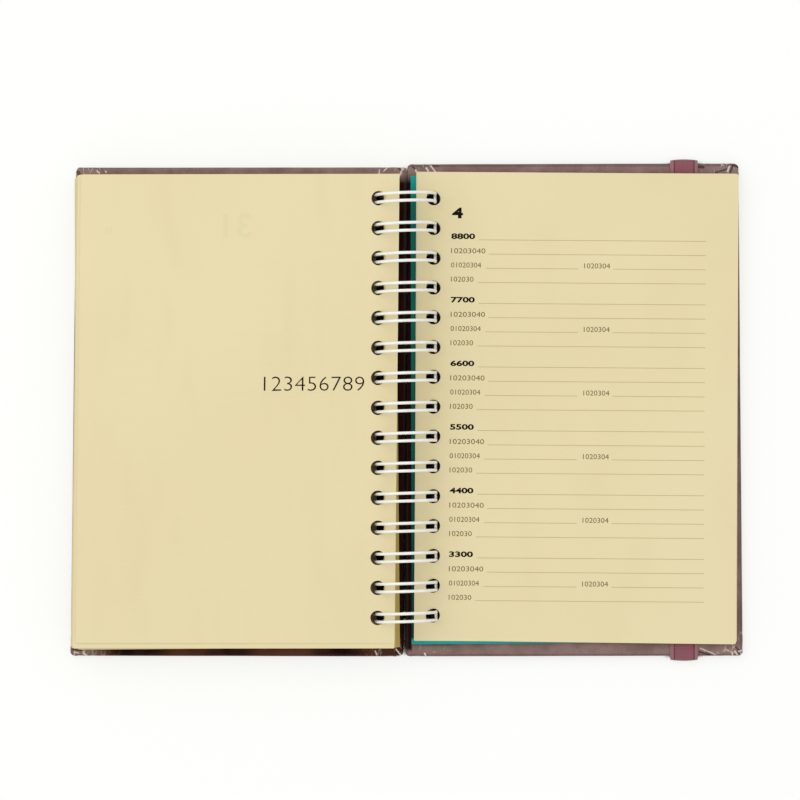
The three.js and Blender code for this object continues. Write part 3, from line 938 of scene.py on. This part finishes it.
def band_mesh():
    low, high = level_box("elastic_band", RIGHT)
    route = band_route()
    rows = len(route)
    bm = bmesh.new()
    bmesh.ops.create_grid(bm, x_segments=band_ribs, y_segments=rows - 1, size=0.5)
    inside = (low.x + high.x) / 2
    width = high.x - low.x - band_trim
    for vertex in bm.verts:
        u = vertex.co.x + 0.5
        row = min(rows - 1, max(0, round((vertex.co.y + 0.5) * (rows - 1))))
        before = Vector(route[max(row - 1, 0)])
        after = Vector(route[min(row + 1, rows - 1)])
        along = (after - before).normalized()
        out = Vector((along.y, -along.x))
        place = Vector(route[row])
        crown = 0.45 * max(0.0, 1 - (2 * u - 1) ** 2) * max(0.0, abs(place.x) - (high.y - 2.3)) / 3
        rib = 0.07 * math.cos(u * band_ribs * math.pi * 0.5)
        place += out * (crown + rib)
        vertex.co = (inside + band_aside + band_slant * place.x + (u - 0.5) * width, place.x, place.y)
    bmesh.ops.recalc_face_normals(bm, faces=bm.faces[:])
    bmesh.ops.solidify(bm, geom=bm.faces[:], thickness=band_thickness)
    bmesh.ops.recalc_face_normals(bm, faces=bm.faces[:])
    return bm


def elastic_finish():
    low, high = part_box("elastic_band")
    finish = Finish("woven_elastic", Sheen_Weight=0.3)
    x, y, z = finish.axes()
    # The band lies a little out of the solid's middle and not quite parallel to the spine.
    middle = (low[0] + high[0]) / 2 + band_aside * MM + y * band_slant
    across = (x - middle) / (high[0] - low[0] - band_trim * MM) + 0.5
    rib = finish.node("ShaderNodeMath", {"operation": "SINE"}, {0: across * (math.pi * band_ribs)})
    pick = finish.node("ShaderNodeMath", {"operation": "SINE"}, {0: (y + z) * (math.pi * 2 / 0.0008)})
    weave = rib * 0.25 + pick * 0.25 + 0.5
    yarn = finish.noise(0.25, 3.0)
    colour = finish.blend(weave, srgb(104, 46, 58), srgb(150, 82, 92))
    colour = finish.blend(yarn * 0.35, colour, srgb(170, 112, 118))
    aside = abs(across - 0.5)
    cord = finish.ramp(aside, 0.385, 0.4)
    cord_colour = finish.blend(rib * 0.5 + 0.5, srgb(136, 96, 98), srgb(186, 144, 146))
    colour = finish.blend(cord * 0.45, colour, cord_colour)
    # Painted shade: a dark line where the groove runs between the ribs and each cord.
    groove_shade = finish.ramp(aside, 0.335, 0.35) * finish.ramp(aside, 0.39, 0.375)
    colour = finish.blend(groove_shade * 0.85, colour, srgb(72, 24, 36))
    return finish.paint(colour, 0.75, weave + yarn * 0.3, 0.08)


def tab_finish():
    finish = Finish("tab_card")
    fibre = finish.noise(0.5, 4.0)
    colour = finish.blend(fibre, srgb(176, 160, 130), srgb(198, 184, 154))
    return finish.paint(colour, 0.85, fibre, 0.03)


add_piece("elastic_loop", band_mesh(), RIGHT, "back_cover", elastic_finish(),
          ("elastic_band",), 50)
tab_card = tab_finish()
for node in ("elastic_anchor_head", "elastic_anchor_tail"):
    dress(node, tab_card)


# The print.
# Thin numerals on the section's title leaf, and six ruled entries of four rows on the contacts leaf, each
# row with a small printed label. The other side of the title leaf shows through faintly.
ink_thickness = 0.012


def numerals(text, height, width, weight):
    """A row of digits of a given height and width, its lower left corner at the origin."""
    font = bpy.data.curves.new("digits", "FONT")
    font.body = text
    font.size = 10.0
    font.offset = weight
    font.extrude = ink_thickness
    font.resolution_u = 3
    holder = bpy.data.objects.new("digits", font)
    bpy.context.scene.collection.objects.link(holder)
    bm = copy_of(holder)
    bpy.data.objects.remove(holder)
    low_x = min(v.co.x for v in bm.verts)
    high_x = max(v.co.x for v in bm.verts)
    low_y = min(v.co.y for v in bm.verts)
    high_y = max(v.co.y for v in bm.verts)
    bmesh.ops.translate(bm, vec=(-low_x, -low_y, 0), verts=bm.verts[:])
    bmesh.ops.scale(bm, vec=(width / (high_x - low_x), height / (high_y - low_y), 1), verts=bm.verts[:])
    return bm


def rule(length, weight):
    bm = bmesh.new()
    bmesh.ops.create_cube(bm, size=1.0)
    bmesh.ops.scale(bm, vec=(length, weight, ink_thickness), verts=bm.verts[:])
    bmesh.ops.translate(bm, vec=(length / 2, 0, 0), verts=bm.verts[:])
    return bm


def gather(marks, node, side, slip):
    """Joins many small marks, each placed from the ring centre, and lays them over a top leaf."""
    joined = bmesh.new()
    for mark, x, y in marks:
        bmesh.ops.translate(mark, vec=(x, y, 0), verts=mark.verts[:])
        mesh = bpy.data.meshes.new("mark")
        mark.to_mesh(mesh)
        mark.free()
        joined.from_mesh(mesh)
        bpy.data.meshes.remove(mesh)
    place = leaf_place(node, side, slip)
    bmesh.ops.translate(joined, vec=(-place.translation.x, 0, 0), verts=joined.verts[:])
    slice_up(joined, 0, [x for x in lift_xs if x * side > 0])
    for vertex in joined.verts:
        vertex.co.z += leaf_thickness + 0.02 + leaf_lift(vertex.co.x, vertex.co.y, side)
    bmesh.ops.transform(joined, matrix=place, verts=joined.verts[:])
    return joined


def ink_finish(name, colour):
    finish = Finish(name, Specular_IOR_Level=0.05)
    speck = finish.noise(0.12, 2.0)
    paler = tuple(min(1.0, channel * 1.5 + 0.01) for channel in colour[:3]) + (1.0,)
    return finish.paint(finish.blend(speck * 0.5, colour, paler), 0.6)


black_ink = ink_finish("black_ink", srgb(14, 10, 4))
brown_ink = ink_finish("brown_ink", srgb(104, 90, 50))
rule_ink = ink_finish("rule_ink", srgb(178, 163, 112))
ghost_ink = ink_finish("show_through", srgb(216, 206, 163))
ghost_rule_ink = ink_finish("faint_rules", srgb(223, 211, 165))

label_x = 18.95
line_end = 127.4
top_line_start = 30.7
second_label_x = 75.7
second_line_start = 88.0
group_pitch = 27.1
group_tops = [74.0 - group_pitch * k for k in range(6)]
row_pitch = 6.06
base_drop = 1.25
rule_drop = 0.25
bold_weight = 0.36
label_weight = -0.02
label_height = 2.15
rule_weight = 0.22
# The lower rows of an entry: digits, their width, and where their line starts and ends.
label_rows = [
    ("10203040", 14.6, 35.0, line_end),
    ("01020304", 12.8, 33.7, 73.1),
    ("102030", 9.6, 30.3, line_end),
]
bold_marks = [(numerals("4", 4.6, 4.7, bold_weight), 19.2, 81.6)]
label_marks = []
rule_marks = []
for k, top in enumerate(group_tops):
    base = top - base_drop
    bold_marks.append((numerals(f"{8 - k}{8 - k}00", 2.45, 10.2, bold_weight), label_x, base))
    rule_marks.append((rule(line_end - top_line_start, rule_weight), top_line_start, base - rule_drop))
    for row, (digits, width, start, stop) in enumerate(label_rows, 1):
        base = top - row * row_pitch - base_drop
        label_marks.append((numerals(digits, label_height, width, label_weight), label_x, base))
        rule_marks.append((rule(stop - start, rule_weight), start, base - rule_drop))
    base = top - 2 * row_pitch - base_drop
    label_marks.append((numerals("1020304", label_height, 11.0, label_weight), second_label_x, base))
    rule_marks.append((rule(line_end - second_line_start, rule_weight), second_line_start, base - rule_drop))
for name, marks, ink in (("bold_numbers", bold_marks, black_ink), ("label_numbers", label_marks, brown_ink),
                         ("ruled_lines", rule_marks, rule_ink)):
    printed = gather(marks, "contacts_leaf", RIGHT, right_slip)
    add_piece(name, printed, RIGHT, "top_contacts_leaf", ink)

title_marks = [(numerals("123456789", 6.1, 42.6, -0.16), -60.0, 8.0)]
printed = gather(title_marks, "section_title_leaf", LEFT, left_slip)
add_piece("title_numbers", printed, LEFT, "title_leaf", black_ink)

# The show-through is a mirrored day number and the faint rows of the leaf's other side.
ghost = numerals("31", 10.4, 11.7, 0.12)
bmesh.ops.scale(ghost, vec=(-1, 1, 1), verts=ghost.verts[:])
bmesh.ops.reverse_faces(ghost, faces=ghost.faces[:])
ghost_marks = [(ghost, -66.3, 73.0), (numerals("8", 3.0, 3.4, 0.0), -128.4, 75.0)]
ghost_rules = [(rule(104.0, 0.16), -126.0, 62.0 - row_pitch * k) for k in range(26)]
for name, marks, ink in (("faint_show_through", ghost_marks, ghost_ink),
                         ("faint_rules", ghost_rules, ghost_rule_ink)):
    printed = gather(marks, "section_title_leaf", LEFT, left_slip)
    add_piece(name, printed, LEFT, "title_leaf", ink)
